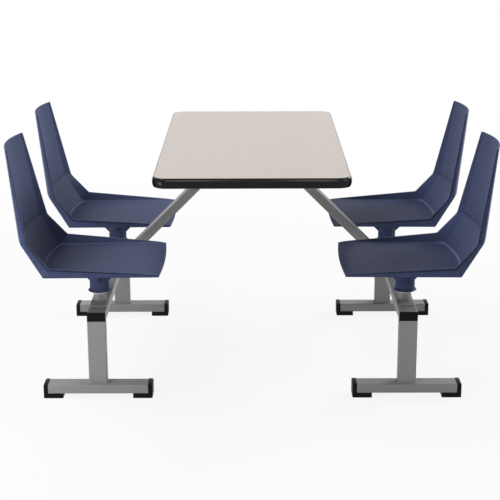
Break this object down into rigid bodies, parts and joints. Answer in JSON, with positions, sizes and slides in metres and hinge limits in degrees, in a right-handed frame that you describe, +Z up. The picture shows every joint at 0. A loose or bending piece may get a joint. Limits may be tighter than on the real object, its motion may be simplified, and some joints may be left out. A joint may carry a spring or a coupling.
{
  "type": "table with attached swivel seats",
  "caption": "Rectangular laminate table on a tubular steel frame whose side rails carry moulded bucket seats that swivel on posts.",
  "frame": {"origin": "on the floor under the middle of the table top, midway between the feet", "axes": "+X across the table towards the right-hand seats, +Y along the table towards the rear seats, +Z up"},
  "size_m": [1.5818, 1.22, 0.826],
  "materials": {
    "laminate": "satin high-pressure laminate, pinkish beige grey with a fine mottle",
    "particle_board": "raw particle board",
    "backer": "matt phenolic backer",
    "edge_vinyl": "glossy black vinyl",
    "frame_paint": "satin silver-grey powder coat",
    "cap_plastic": "black moulded plastic",
    "nylon": "natural nylon",
    "swivel_steel": "black-coated steel",
    "screw_zinc": "zinc-plated steel",
    "seat_plastic": "navy polypropylene with a fine grain"
  },
  "bodies": {
    "frame": {"laminate_sheet": "laminate", "top_core": "particle_board", "backer_sheet": "backer", "edge_band": "edge_vinyl", "support_tube_left": "frame_paint", "support_tube_right": "frame_paint", "cross_bar_front": "frame_paint", "cross_bar_rear": "frame_paint", "side_rail_left": "frame_paint", "side_rail_right": "frame_paint", "arm_left": "frame_paint", "arm_right": "frame_paint", "post_plates": "frame_paint", "post_collars": "frame_paint", "top_screws": "screw_zinc", "rail_end_caps_left": "cap_plastic", "rail_end_caps_right": "cap_plastic", "lower_bushes": "nylon", "upper_bushes": "nylon", "thrust_discs": "nylon", "leg_front_left": "frame_paint", "foot_bar_front_left": "frame_paint", "seat_post_front_left": "frame_paint", "foot_caps_front_left": "cap_plastic", "leg_front_right": "frame_paint", "foot_bar_front_right": "frame_paint", "seat_post_front_right": "frame_paint", "foot_caps_front_right": "cap_plastic", "leg_rear_left": "frame_paint", "foot_bar_rear_left": "frame_paint", "seat_post_rear_left": "frame_paint", "foot_caps_rear_left": "cap_plastic", "leg_rear_right": "frame_paint", "foot_bar_rear_right": "frame_paint", "seat_post_rear_right": "frame_paint", "foot_caps_rear_right": "cap_plastic"},
    "seat_front_left": {"seat_shell_front_left": "seat_plastic", "hub_cover_front_left": "seat_plastic", "seat_plate_front_left": "swivel_steel", "swivel_tube_front_left": "swivel_steel", "seat_screws_front_left": "screw_zinc", "stop_screw_front_left": "screw_zinc"},
    "seat_front_right": {"seat_shell_front_right": "seat_plastic", "hub_cover_front_right": "seat_plastic", "seat_plate_front_right": "swivel_steel", "swivel_tube_front_right": "swivel_steel", "seat_screws_front_right": "screw_zinc", "stop_screw_front_right": "screw_zinc"},
    "seat_rear_left": {"seat_shell_rear_left": "seat_plastic", "hub_cover_rear_left": "seat_plastic", "seat_plate_rear_left": "swivel_steel", "swivel_tube_rear_left": "swivel_steel", "seat_screws_rear_left": "screw_zinc", "stop_screw_rear_left": "screw_zinc"},
    "seat_rear_right": {"seat_shell_rear_right": "seat_plastic", "hub_cover_rear_right": "seat_plastic", "seat_plate_rear_right": "swivel_steel", "swivel_tube_rear_right": "swivel_steel", "seat_screws_rear_right": "screw_zinc", "stop_screw_rear_right": "screw_zinc"}
  },
  "joints": [
    {"name": "seat_front_left_swivel", "type": "hinge", "parent": "frame", "child": "seat_front_left", "pos_m": [-0.504, -0.318, 0.414], "axis": [0, 0, 1], "range_deg": [-90, 90]},
    {"name": "seat_front_right_swivel", "type": "hinge", "parent": "frame", "child": "seat_front_right", "pos_m": [0.504, -0.318, 0.414], "axis": [0, 0, 1], "range_deg": [-90, 90]},
    {"name": "seat_rear_left_swivel", "type": "hinge", "parent": "frame", "child": "seat_rear_left", "pos_m": [-0.504, 0.318, 0.414], "axis": [0, 0, 1], "range_deg": [-90, 90]},
    {"name": "seat_rear_right_swivel", "type": "hinge", "parent": "frame", "child": "seat_rear_right", "pos_m": [0.504, 0.318, 0.414], "axis": [0, 0, 1], "range_deg": [-90, 90]}
  ]
}
